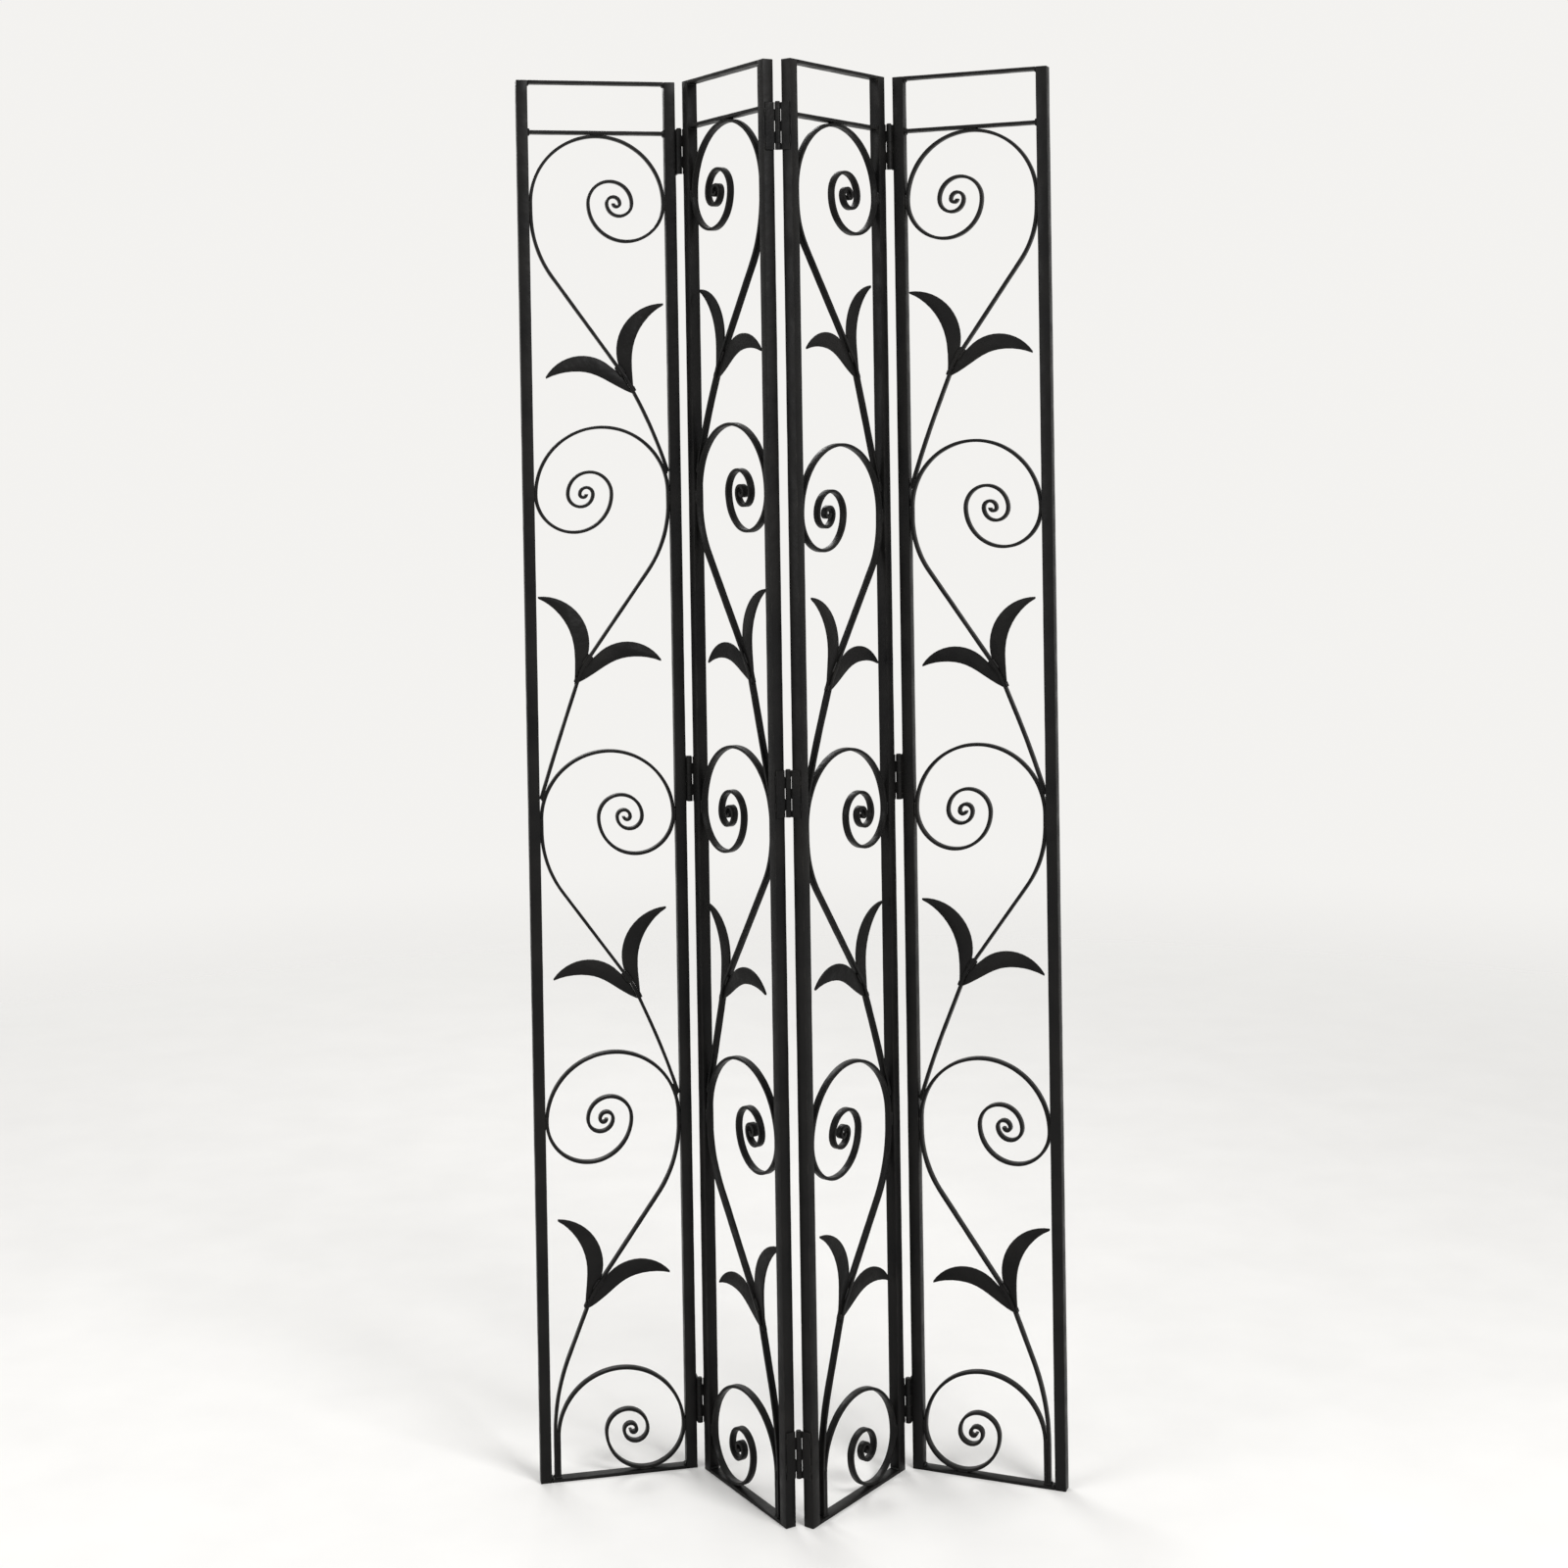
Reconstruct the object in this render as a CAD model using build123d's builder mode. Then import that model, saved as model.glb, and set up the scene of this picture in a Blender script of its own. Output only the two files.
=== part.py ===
"""Folding screen of forged iron: four tall open panels, hinged in a zigzag.

Each panel is a frame of square bar with flat rails. A vine of five scrolls runs down inside it,
and a pair of crescent leaves sits at each fork of its stem. Units are millimetres, Z is up,
and the origin is on the floor in the middle of the screen as it stands.
"""
from build123d import *
from math import atan2, cos, dist, radians, sin, tan
import os

os.makedirs("parts", exist_ok=True)

# Overall sizes
SCREEN_HEIGHT = 1980.0
PANEL_WIDTH = 225.0

# Bar stock
STILE_SIDE = 16.0
RAIL_THICKNESS = 5.0
STRIP_THICKNESS = 4.8
STRIP_DEPTH = 10.0
LEAF_THICKNESS = 3.0

# Frame: how far below the top each panel's cross rail was welded in
CROSS_RAIL_DROPS = (70.0, 62.0, 71.0, 74.0)

# Scrolls: each half turn of the strip has its own radius, as a share of the outer one.
# The second was bent freely, so it has a share for each scroll of each panel, from the top.
SECOND_SHARES = (
    (0.57, 0.57, 0.57, 0.64),
    (0.54, 0.56, 0.59, 0.56),
    (0.56, 0.53, 0.50, 0.60),
    (0.58, 0.58, 0.58, 0.54),
)
FOOT_SECOND_SHARE = 0.62
INNER_SHARES = (0.33, 0.19, 0.1, 0.05)
# Between the stile and the leg of each panel's foot scroll, which the last tail runs down beside
FOOT_LEG_GAPS = (9.0, 14.0, 18.0, 12.0)

# Stems: they leave a scroll straight down, slope to the fork and end against the next scroll
STEM_SLOPE = 54.5
STEM_FLAT_RUN = 15.0
FORK_DROP = 238.0
FORK_BEND_RADIUS = 60.0
TAIL_BEND_RUN = 58.0
TAIL_END_RUN = 2.0
TAIL_END_ANGLE = 17.5

# The vines were set out by eye: how far each lower scroll stands above its even place,
# how far each stem's line passes beside the middle of the panel, as a share of a scroll's radius,
# and how far up that line its fork sits
SCROLL_DRIFTS = ((26, 4, 12), (27, 17, 20), (-4, 12, 15), (-1, 9, 3))
STEM_OFFSETS = (
    (0.32, 0.29, 0.32, 0.28),
    (0.31, 0.39, 0.42, 0.33),
    (0.43, 0.42, 0.37, 0.28),
    (0.38, 0.38, 0.33, 0.33),
)
FORK_DRIFTS = ((-10, -9, -3, -11), (-1, -3, -9, -13), (4, 14, 0, 2), (10, 6, 9, -4))

# Leaf outlines, from the fork, as shares of a scroll's radius: sideways, then up
UPRIGHT_CROTCH = (-0.11, 0.19)
UPRIGHT_CROWN = (-0.04, 0.79)
UPRIGHT_TIP = (0.58, 1.12)
UPRIGHT_HOLLOW = ((0.34, 0.92), (0.11, 0.48), (0.09, 0.11))
LEAF_HEEL = (0.11, -0.23)
LYING_HOLLOW = ((-0.21, -0.06), (-0.55, 0.13), (-0.87, 0.17))
LYING_TIP = (-1.21, 0.11)
LYING_CROWN = (-0.7, 0.4)
LYING_CROTCH = (-0.23, 0.21)
LEAF_TIP_WIDTH = 0.03

# How far each leaf turns about its fork from that outline, in degrees towards the lying leaf's side
UPRIGHT_TURNS = ((0, -3, 3, 4), (0, 5, 5, 1), (6, 6, 2, 2), (-6, 1, -5, -2))
LYING_TURNS = ((4, 1, -2, -6), (-2, 5, 0, -1), (-5, 0, -2, 5), (0, 1, 3, 0))

# Hinges
HINGES_PER_JOINT = 3
HINGE_HEIGHT = 63.5
TOP_HINGE_DROPS = (67.0, 58.0, 67.0)
FOOT_HINGE_RISE = 67.0
HINGE_GAP = 8.0
FLAP_THICKNESS = 2.5
FLAP_MARGIN = 2.0
KNUCKLE_SHARES = (0.14, 0.25, 0.22, 0.25, 0.14)
KNUCKLE_RADIUS = 4.0
KNUCKLE_CLEARANCE = 0.4
PIN_PROUD = 3.5
PIN_RADIUS = 2.2
PIN_CLEARANCE = 0.05
PIN_HEAD_RADIUS = 3.2
PIN_HEAD_HEIGHT = 1.5

# How the screen stands: the second panel's direction, and the turn at each joint, in degrees
SECOND_PANEL_YAW = -57.5
TURNS = (70.8, 112.3, 75.4)

INNER_WIDTH = PANEL_WIDTH - 2 * STILE_SIDE
SCROLL_RADIUS = (INNER_WIDTH - STRIP_THICKNESS) / 2

PANELS = 4
FORKS = 4
JOINT_REACH = PANEL_WIDTH / 2 + HINGE_GAP / 2
JOINT_DEPTH = STILE_SIDE / 2 + PIN_PROUD
# The outer joints have their pins in front, the middle one behind
PIN_SIDES = (-1, 1, -1)
# The panel whose flaps have the greater number of knuckles, and carry the pins
PIN_PANELS = (0, 2, 3)


def along(yaw):
    return Vector(cos(radians(yaw)), sin(radians(yaw)), 0)


def depth(yaw):
    return Vector(-sin(radians(yaw)), cos(radians(yaw)), 0)


def joint_offset(yaw, end, pin_side):
    """From a panel's middle to the pin at one end of it."""
    return along(yaw) * (end * JOINT_REACH) + depth(yaw) * (pin_side * JOINT_DEPTH)


def standing_places():
    """Yaw and middle of each panel, and each pin, with the whole screen centred on the origin."""
    yaws = [SECOND_PANEL_YAW + TURNS[0], SECOND_PANEL_YAW]
    yaws.append(SECOND_PANEL_YAW + TURNS[1])
    yaws.append(yaws[2] - TURNS[2])
    middles = [Vector(0, 0, 0)]
    pins = []
    for joint, pin_side in enumerate(PIN_SIDES):
        pin = middles[joint] + joint_offset(yaws[joint], 1, pin_side)
        pins.append(pin)
        middles.append(pin - joint_offset(yaws[joint + 1], -1, pin_side))
    corners = [
        middle + along(yaw) * (end * PANEL_WIDTH / 2) + depth(yaw) * (side * STILE_SIDE / 2)
        for yaw, middle in zip(yaws, middles)
        for end in (-1, 1)
        for side in (-1, 1)
    ]
    xs = [corner.X for corner in corners]
    ys = [corner.Y for corner in corners]
    centre = Vector((min(xs) + max(xs)) / 2, (min(ys) + max(ys)) / 2, 0)
    return yaws, [middle - centre for middle in middles], [pin - centre for pin in pins]


YAWS, MIDDLES, PINS = standing_places()


def panel_plane(panel, forward=0.0):
    """The panel's middle plane: X along it from its centre line, Y up, Z towards its front."""
    yaw = YAWS[panel]
    return Plane(origin=MIDDLES[panel], x_dir=along(yaw), z_dir=-depth(yaw)).offset(forward)


def scroll_hand(panel, scroll):
    """1 where the stem leaves at the left, -1 where the scroll is turned over."""
    return 1 if (panel + scroll) % 2 == 0 else -1


def cross_rail_bottom(panel):
    return SCREEN_HEIGHT - CROSS_RAIL_DROPS[panel] - RAIL_THICKNESS


def top_middle(panel):
    """Height of the top scroll's middle, which puts the scroll against the cross rail."""
    return cross_rail_bottom(panel) - STRIP_THICKNESS / 2 - SCROLL_RADIUS


def scroll_radius(panel, scroll):
    return SCROLL_RADIUS - FOOT_LEG_GAPS[panel] / 2 if scroll == FORKS else SCROLL_RADIUS


def foot_middle(panel):
    """Height of the foot scroll's middle, which puts its second half turn on the foot rail."""
    return RAIL_THICKNESS + STRIP_THICKNESS / 2 + scroll_radius(panel, FORKS) * FOOT_SECOND_SHARE


def scroll_middle(panel, scroll):
    """Centre of the outer half turn."""
    if scroll == 0:
        return 0.0, top_middle(panel)
    if scroll == FORKS:
        return scroll_hand(panel, scroll) * FOOT_LEG_GAPS[panel] / 2, foot_middle(panel)
    mean_top = sum(top_middle(each) for each in range(PANELS)) / PANELS
    mean_foot = sum(foot_middle(each) for each in range(PANELS)) / PANELS
    pitch = (mean_top - mean_foot) / FORKS
    return 0.0, mean_top - scroll * pitch + SCROLL_DRIFTS[panel][scroll - 1]


def turn_shares(panel, scroll):
    """Radius of each half turn, from the outside in, as a share of the outer one."""
    second = FOOT_SECOND_SHARE if scroll == FORKS else SECOND_SHARES[panel][scroll]
    return 1.0, second, *INNER_SHARES


def fork_point(panel, scroll):
    drift = FORK_DRIFTS[panel][scroll]
    aside = STEM_OFFSETS[panel][scroll] * SCROLL_RADIUS - drift / tan(radians(STEM_SLOPE))
    return scroll_hand(panel, scroll) * aside, scroll_middle(panel, scroll)[1] - FORK_DROP + drift


def tail_points(panel, scroll):
    """Corner of a tail's last bend, and its end: against the next scroll, or beside the foot leg."""
    middle_x, middle_z = scroll_middle(panel, scroll + 1)
    reach = scroll_radius(panel, scroll + 1) + STRIP_THICKNESS
    run = TAIL_BEND_RUN + TAIL_END_RUN
    side = scroll_hand(panel, scroll)
    if scroll + 1 == FORKS:
        x = middle_x + side * reach
        return (x, middle_z + run), (x, RAIL_THICKNESS + STRIP_THICKNESS / 2)
    across = cos(radians(TAIL_END_ANGLE))
    up = sin(radians(TAIL_END_ANGLE))
    end_x = middle_x + side * reach * across
    end_z = middle_z + reach * up
    return (end_x - side * run * up, end_z + run * across), (end_x, end_z)


def half_bend(before, corner, after):
    """Half the turn of a bend, which ties its radius to its run from the corner."""
    coming = atan2(corner[0] - before[0], before[1] - corner[1])
    going = atan2(after[0] - corner[0], corner[1] - after[1])
    return abs(coming - going) / 2


def scroll_line(panel, scroll):
    """Middle line of a strip, from the eye of its scroll to the end of its tail."""
    hand = scroll_hand(panel, scroll)
    middle_x, middle_z = scroll_middle(panel, scroll)
    outer = scroll_radius(panel, scroll)
    # In the scroll's own hand, x grows away from the side where the stem leaves
    x = hand * middle_x - outer
    direction = 1
    for share in turn_shares(panel, scroll):
        centre_x = x + direction * outer * share
        start = 180 if hand * direction > 0 else 0
        over = -1 if hand > 0 else 1
        CenterArc((hand * centre_x, middle_z), outer * share, start, over * 180)
        x = centre_x + direction * outer * share
        direction = -direction
    side_x = middle_x - hand * outer
    if scroll == FORKS:
        Line((side_x, middle_z), (side_x, RAIL_THICKNESS + STRIP_THICKNESS / 2))
        return
    side = (side_x, middle_z)
    fork = fork_point(panel, scroll)
    stem_corner = (side_x, fork[1] + abs(fork[0] - side_x) * tan(radians(STEM_SLOPE)))
    stem_run = middle_z - STEM_FLAT_RUN - stem_corner[1]
    stem_radius = stem_run / tan(half_bend(side, stem_corner, fork))
    tail_corner, tail_end = tail_points(panel, scroll)
    # The tail's bend has what the fork's bend leaves of the run between them
    fork_run = FORK_BEND_RADIUS * tan(half_bend(stem_corner, fork, tail_corner))
    room = dist(fork, tail_corner) - fork_run - STRIP_THICKNESS
    tail_radius = min(TAIL_BEND_RUN, room) / tan(half_bend(fork, tail_corner, tail_end))
    FilletPolyline(
        side, stem_corner, fork, tail_corner, tail_end, radius=(stem_radius, FORK_BEND_RADIUS, tail_radius)
    )


def strip_outline(panel, scroll):
    """Adds one strip, as seen square on, to the sketch in hand."""
    with BuildLine() as outline:
        scroll_line(panel, scroll)
        offset(amount=STRIP_THICKNESS / 2)
    make_face(outline.edges())


def leaf_point(panel, fork, turn, place):
    """A point of a leaf, from its place in the leaf's outline and the leaf's turn about the fork."""
    x, z = fork_point(panel, fork)
    across = place[0] * cos(radians(turn)) - place[1] * sin(radians(turn))
    up = place[0] * sin(radians(turn)) + place[1] * cos(radians(turn))
    return x + scroll_hand(panel, fork) * across * SCROLL_RADIUS, z + up * SCROLL_RADIUS


def leaf_outline(panel, fork, turn, crotch, crown, tip, hollow):
    """One crescent: out along its crown, round its blunt tip and back along its hollow to the heel."""
    half = LEAF_TIP_WIDTH / 2
    points = [(tip[0], tip[1] + half), (tip[0], tip[1] - half), *hollow]
    outer_tip, inner_tip, *inner = [leaf_point(panel, fork, turn, place) for place in points]
    heel = leaf_point(panel, fork, 0, LEAF_HEEL)
    root = fork_point(panel, fork)
    start = leaf_point(panel, fork, turn, crotch)
    with BuildLine() as outline:
        Line(root, start)
        ThreePointArc(start, leaf_point(panel, fork, turn, crown), outer_tip)
        Line(outer_tip, inner_tip)
        Spline(inner_tip, *inner, heel)
        Line(heel, root)
    make_face(outline.edges())


def leaf_pair_outline(panel, fork):
    """Adds the two leaves at a fork, which meet along the stem, to the sketch in hand."""
    upright_turn = UPRIGHT_TURNS[panel][fork]
    lying_turn = LYING_TURNS[panel][fork]
    leaf_outline(panel, fork, upright_turn, UPRIGHT_CROTCH, UPRIGHT_CROWN, UPRIGHT_TIP, UPRIGHT_HOLLOW)
    leaf_outline(panel, fork, lying_turn, LYING_CROTCH, LYING_CROWN, LYING_TIP, LYING_HOLLOW[::-1])


def save(piece, name):
    piece.part.label = name
    export_step(piece.part, f"parts/{name}.step")


# Frames
for panel in range(PANELS):
    for side, place in ((-1, "left"), (1, "right")):
        with BuildPart() as stile:
            with BuildSketch(panel_plane(panel)):
                with Locations((side * (PANEL_WIDTH - STILE_SIDE) / 2, 0)):
                    Rectangle(STILE_SIDE, SCREEN_HEIGHT, align=(Align.CENTER, Align.MIN))
            extrude(amount=STILE_SIDE / 2, both=True)
        save(stile, f"panel_{panel + 1}_{place}_stile")

    rail_bottoms = {
        "top": SCREEN_HEIGHT - RAIL_THICKNESS,
        "cross": cross_rail_bottom(panel),
        "foot": 0.0,
    }
    for place, bottom in rail_bottoms.items():
        with BuildPart() as rail:
            with BuildSketch(panel_plane(panel)):
                with Locations((0, bottom)):
                    Rectangle(INNER_WIDTH, RAIL_THICKNESS, align=(Align.CENTER, Align.MIN))
            extrude(amount=STILE_SIDE / 2, both=True)
        save(rail, f"panel_{panel + 1}_{place}_rail")

# Vines
for panel in range(PANELS):
    for first, place in ((0, "odd"), (1, "even")):
        with BuildPart() as scrolls:
            with BuildSketch(panel_plane(panel)):
                for scroll in range(first, FORKS + 1, 2):
                    strip_outline(panel, scroll)
            extrude(amount=STRIP_DEPTH / 2, both=True)
        save(scrolls, f"panel_{panel + 1}_{place}_scrolls")

    with BuildPart() as leaves:
        with BuildSketch(panel_plane(panel)):
            for fork in range(FORKS):
                leaf_pair_outline(panel, fork)
            with BuildSketch(panel_plane(panel), mode=Mode.SUBTRACT):
                for fork in range(FORKS):
                    strip_outline(panel, fork)
        extrude(amount=LEAF_THICKNESS / 2, both=True)
    save(leaves, f"panel_{panel + 1}_leaves")

# Hinges
FLAP_FROM = KNUCKLE_RADIUS + KNUCKLE_CLEARANCE
FLAP_TO = PIN_PROUD + STILE_SIDE - FLAP_MARGIN
FLAP_MIDDLE = (HINGE_GAP - FLAP_THICKNESS) / 2


def hinge_bottoms(joint):
    top = SCREEN_HEIGHT - TOP_HINGE_DROPS[joint] - HINGE_HEIGHT
    pitch = (top - FOOT_HINGE_RISE) / (HINGES_PER_JOINT - 1)
    return [FOOT_HINGE_RISE + hinge * pitch for hinge in range(HINGES_PER_JOINT)]


def pin_plane(joint, panel, height):
    """On the pin at a height, with X from the pin towards the panel's middle plane."""
    across = depth(YAWS[panel]) * -PIN_SIDES[joint]
    return Plane(origin=PINS[joint] + Vector(0, 0, height), x_dir=across, z_dir=(0, 0, 1))


for joint in range(PANELS - 1):
    for panel, place, into in ((joint, "left", -PIN_SIDES[joint]), (joint + 1, "right", PIN_SIDES[joint])):
        first_knuckle = 0 if panel == PIN_PANELS[joint] else 1
        with BuildPart() as flaps:
            for hinge_bottom in hinge_bottoms(joint):
                with BuildSketch(pin_plane(joint, panel, hinge_bottom)):
                    with Locations((FLAP_FROM, into * FLAP_MIDDLE)):
                        Rectangle(FLAP_TO - FLAP_FROM, FLAP_THICKNESS, align=(Align.MIN, Align.CENTER))
                extrude(amount=HINGE_HEIGHT)
                for knuckle in range(first_knuckle, len(KNUCKLE_SHARES), 2):
                    below = sum(KNUCKLE_SHARES[:knuckle]) * HINGE_HEIGHT
                    bottom = hinge_bottom + below + KNUCKLE_CLEARANCE / 2
                    with BuildSketch(pin_plane(joint, panel, bottom)):
                        Circle(KNUCKLE_RADIUS)
                        with Locations((0, into * FLAP_MIDDLE)):
                            Rectangle(FLAP_FROM, FLAP_THICKNESS, align=(Align.MIN, Align.CENTER))
                        Circle(PIN_RADIUS + PIN_CLEARANCE, mode=Mode.SUBTRACT)
                    extrude(amount=KNUCKLE_SHARES[knuckle] * HINGE_HEIGHT - KNUCKLE_CLEARANCE)
        save(flaps, f"hinges_{joint + 1}_{joint + 2}_{place}_flaps")

    with BuildPart() as pins:
        for hinge_bottom in hinge_bottoms(joint):
            seat = HINGE_HEIGHT - KNUCKLE_CLEARANCE / 2
            with BuildSketch(pin_plane(joint, joint, hinge_bottom)):
                Circle(PIN_RADIUS)
            extrude(amount=seat)
            with BuildSketch(pin_plane(joint, joint, hinge_bottom + seat)):
                Circle(PIN_HEAD_RADIUS)
            extrude(amount=PIN_HEAD_HEIGHT)
    save(pins, f"hinges_{joint + 1}_{joint + 2}_pins")

for panel, (yaw, middle) in enumerate(zip(YAWS, MIDDLES)):
    print(f"panel {panel + 1}: yaw {yaw:.3f}, middle ({middle.X:.4f}, {middle.Y:.4f})")
for joint, pin in enumerate(PINS):
    print(f"pin {joint + 1}: ({pin.X:.4f}, {pin.Y:.4f})")
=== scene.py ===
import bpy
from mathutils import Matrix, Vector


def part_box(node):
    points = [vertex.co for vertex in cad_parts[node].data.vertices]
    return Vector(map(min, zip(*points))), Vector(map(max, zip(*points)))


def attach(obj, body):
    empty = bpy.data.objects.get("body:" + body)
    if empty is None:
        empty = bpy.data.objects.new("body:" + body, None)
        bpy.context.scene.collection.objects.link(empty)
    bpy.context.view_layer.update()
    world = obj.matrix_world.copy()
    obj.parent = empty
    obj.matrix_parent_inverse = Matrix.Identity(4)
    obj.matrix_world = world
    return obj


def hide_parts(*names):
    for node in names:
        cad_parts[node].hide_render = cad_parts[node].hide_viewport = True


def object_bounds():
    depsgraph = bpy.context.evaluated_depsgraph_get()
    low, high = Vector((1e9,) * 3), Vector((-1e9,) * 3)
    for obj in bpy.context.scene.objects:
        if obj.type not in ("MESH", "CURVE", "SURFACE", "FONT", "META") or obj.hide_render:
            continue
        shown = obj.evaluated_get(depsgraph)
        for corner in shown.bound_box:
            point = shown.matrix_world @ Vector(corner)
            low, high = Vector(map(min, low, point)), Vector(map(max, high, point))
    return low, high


bl_info = {
    "name": "Folding Iron Screen",
    "version": (1, 0, 0),
    "blender": (4, 5, 0),
    "location": "View3D > Sidebar > Screen",
    "description": "Forged bars, vine, welds and black finish of a four-panel folding screen",
    "category": "Add Mesh",
}

from math import atan2, ceil, copysign, cos, pi, radians, sin, tan

import bpy
from bpy.props import FloatProperty, FloatVectorProperty, PointerProperty
from bpy.types import Operator, Panel, PropertyGroup
from mathutils import Matrix, Vector

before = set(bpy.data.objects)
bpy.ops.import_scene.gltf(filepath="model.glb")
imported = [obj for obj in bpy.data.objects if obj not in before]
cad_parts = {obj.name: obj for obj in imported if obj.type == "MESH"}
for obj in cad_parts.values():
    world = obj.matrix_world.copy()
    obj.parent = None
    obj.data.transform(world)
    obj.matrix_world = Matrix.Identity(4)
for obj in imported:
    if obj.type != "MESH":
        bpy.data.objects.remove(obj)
cad_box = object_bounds()

PANELS = range(4)
FORKS = 4
SCREEN_HEIGHT = cad_box[1].z - cad_box[0].z

# Bar stock, in metres
PANEL_WIDTH = 0.225
STILE_SIDE = 0.016
RAIL_THICKNESS = 0.005
STRIP_THICKNESS = 0.0048
STRIP_DEPTH = 0.010
LEAF_THICKNESS = 0.003
INNER_WIDTH = PANEL_WIDTH - 2 * STILE_SIDE

# The vine, drawn square on: X across the panel from its centre line, Z up from the floor.
# Each half turn of a scroll has its own radius, as a share of the outer one.
SECOND_SHARES = (
    (0.57, 0.57, 0.57, 0.64),
    (0.54, 0.56, 0.59, 0.56),
    (0.56, 0.53, 0.50, 0.60),
    (0.58, 0.58, 0.58, 0.54),
)
FOOT_SECOND_SHARE = 0.62
INNER_SHARES = (0.33, 0.19, 0.1, 0.05)
FOOT_LEG_GAPS = (0.009, 0.014, 0.018, 0.012)
STEM_SLOPE = radians(54.5)
STEM_FLAT_RUN = 0.015
FORK_DROP = 0.238
FORK_BEND_RADIUS = 0.060
TAIL_BEND_RUN = 0.058
TAIL_END_RUN = 0.002
TAIL_END_ANGLE = radians(17.5)
STEM_OFFSETS = (
    (0.32, 0.29, 0.32, 0.28),
    (0.31, 0.39, 0.42, 0.33),
    (0.43, 0.42, 0.37, 0.28),
    (0.38, 0.38, 0.33, 0.33),
)

# In millimetres, as the panels were set out by eye
MILLIMETRE = 0.001
SCROLL_DRIFTS = ((26, 4, 12), (27, 17, 20), (-4, 12, 15), (-1, 9, 3))
FORK_DRIFTS = ((-10, -9, -3, -11), (-1, -3, -9, -13), (4, 14, 0, 2), (10, 6, 9, -4))
SCROLL_RADIUS = (INNER_WIDTH - STRIP_THICKNESS) / 2

# Hinges: which face of the panels each joint's pins stand at, and where the flaps end
PIN_SIDES = (-1, 1, -1)
HINGE_HEIGHT = 0.0635
FLAP_EDGE = 0.0064

# Spacing of the cross sections along a bar or strip, and of the points on a bead of weld
BAR_STEP = 0.006
STRIP_STEP = 0.0045
BEAD_MESH = 0.0008
BEAD_DROPS = 6
MERGE_DISTANCE = 0.00001
SHARP_ANGLE = radians(40)
LEAF_RIM = 0.0007

# Welds: how far from a fork or a tail's end each sits, and where a flap's two runs are, up its height
LEAF_WELD_RISE = 0.014
TAIL_WELD_DROP = 0.017
SEAM_WELD_RISE = 0.005
FLAP_WELD_SHARES = (0.22, 0.78)
FLAP_WELD_PROUD = 0.0007

# Stage: the floor thins away between two distances from the screen
FLOOR_RADIUS = 9
FLOOR_FADE = (1.2, 5.0)


class ScreenSizes(PropertyGroup):
    """Small forms that the forging and the welding leave."""

    edge_round: FloatProperty(
        name="Edge rounding", description="Rounding along the edges of the bars",
        default=0.0009, unit="LENGTH",
    )
    hammer_depth: FloatProperty(
        name="Hammer depth", description="How far the bar faces wander from flat",
        default=0.0004, unit="LENGTH",
    )
    hammer_size: FloatProperty(
        name="Hammer mark", description="Size of one hammer mark along a bar",
        default=0.022, unit="LENGTH",
    )
    bead_radius: FloatProperty(
        name="Bead radius", description="Half the width of a run of weld",
        default=0.0021, unit="LENGTH",
    )
    bead_length: FloatProperty(
        name="Bead length", description="Length of one run of weld",
        default=0.011, unit="LENGTH",
    )


class ScreenFinish(PropertyGroup):
    """Colours and gloss of the black finish."""

    black: FloatVectorProperty(
        name="Black", description="Colour of the finish", subtype="COLOR",
        default=(0.0030, 0.0030, 0.0032), min=0, max=1,
    )
    dusty: FloatVectorProperty(
        name="Dusty black", description="Colour where the finish has dulled", subtype="COLOR",
        default=(0.0085, 0.0080, 0.0075), min=0, max=1,
    )
    worn: FloatVectorProperty(
        name="Worn edge", description="Colour of edges rubbed by handling", subtype="COLOR",
        default=(0.045, 0.042, 0.038), min=0, max=1,
    )
    gloss: FloatProperty(
        name="Roughness", description="Mean roughness of the finish",
        default=0.42, min=0, max=1, subtype="FACTOR",
    )


class StageSettings(PropertyGroup):
    """Camera, floor and lights."""

    camera_place: FloatVectorProperty(
        name="Camera place", description="Where the camera stands", subtype="TRANSLATION",
        default=(0.0686, -3.2593, 1.4682), unit="LENGTH",
    )
    camera_pan: FloatProperty(
        name="Pan", description="Turn of the camera to the left",
        default=radians(1.252), unit="ROTATION",
    )
    camera_tilt: FloatProperty(
        name="Tilt", description="How far the camera looks down",
        default=radians(1.053), unit="ROTATION",
    )
    camera_roll: FloatProperty(
        name="Roll", description="Turn of the camera about its view",
        default=radians(-0.914), unit="ROTATION",
    )
    camera_lens: FloatProperty(name="Lens", description="Focal length in millimetres", default=54.14)
    camera_rise: FloatProperty(name="Shift", description="Shift of the frame upwards", default=-0.1908)
    floor_colour: FloatVectorProperty(
        name="Floor", description="Colour of the floor", subtype="COLOR",
        default=(0.90, 0.89, 0.87), min=0, max=1,
    )
    key_power: FloatProperty(
        name="Key light", description="Power of the key light", default=150, unit="POWER",
    )
    fill_power: FloatProperty(
        name="Fill light", description="Power of the fill and back lights", default=45, unit="POWER",
    )
    sky_level: FloatProperty(name="Sky", description="Level of the light from all round", default=0.5)


# Drawing and placing

def only(*pieces):
    """Selects these pieces and nothing else."""
    bpy.ops.object.select_all(action="DESELECT")
    for piece in pieces:
        piece.select_set(True)
    bpy.context.view_layer.objects.active = pieces[0]


def middle_of(node):
    low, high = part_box(node)
    return (low + high) / 2


def panel_place(panel):
    """From a panel drawn square on to where it stands."""
    left = middle_of(f"panel_{panel + 1}_left_stile")
    right = middle_of(f"panel_{panel + 1}_right_stile")
    middle = (left + right) / 2
    along = right - left
    return Matrix.Translation((middle.x, middle.y, 0)) @ Matrix.Rotation(atan2(along.y, along.x), 4, "Z")


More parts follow.
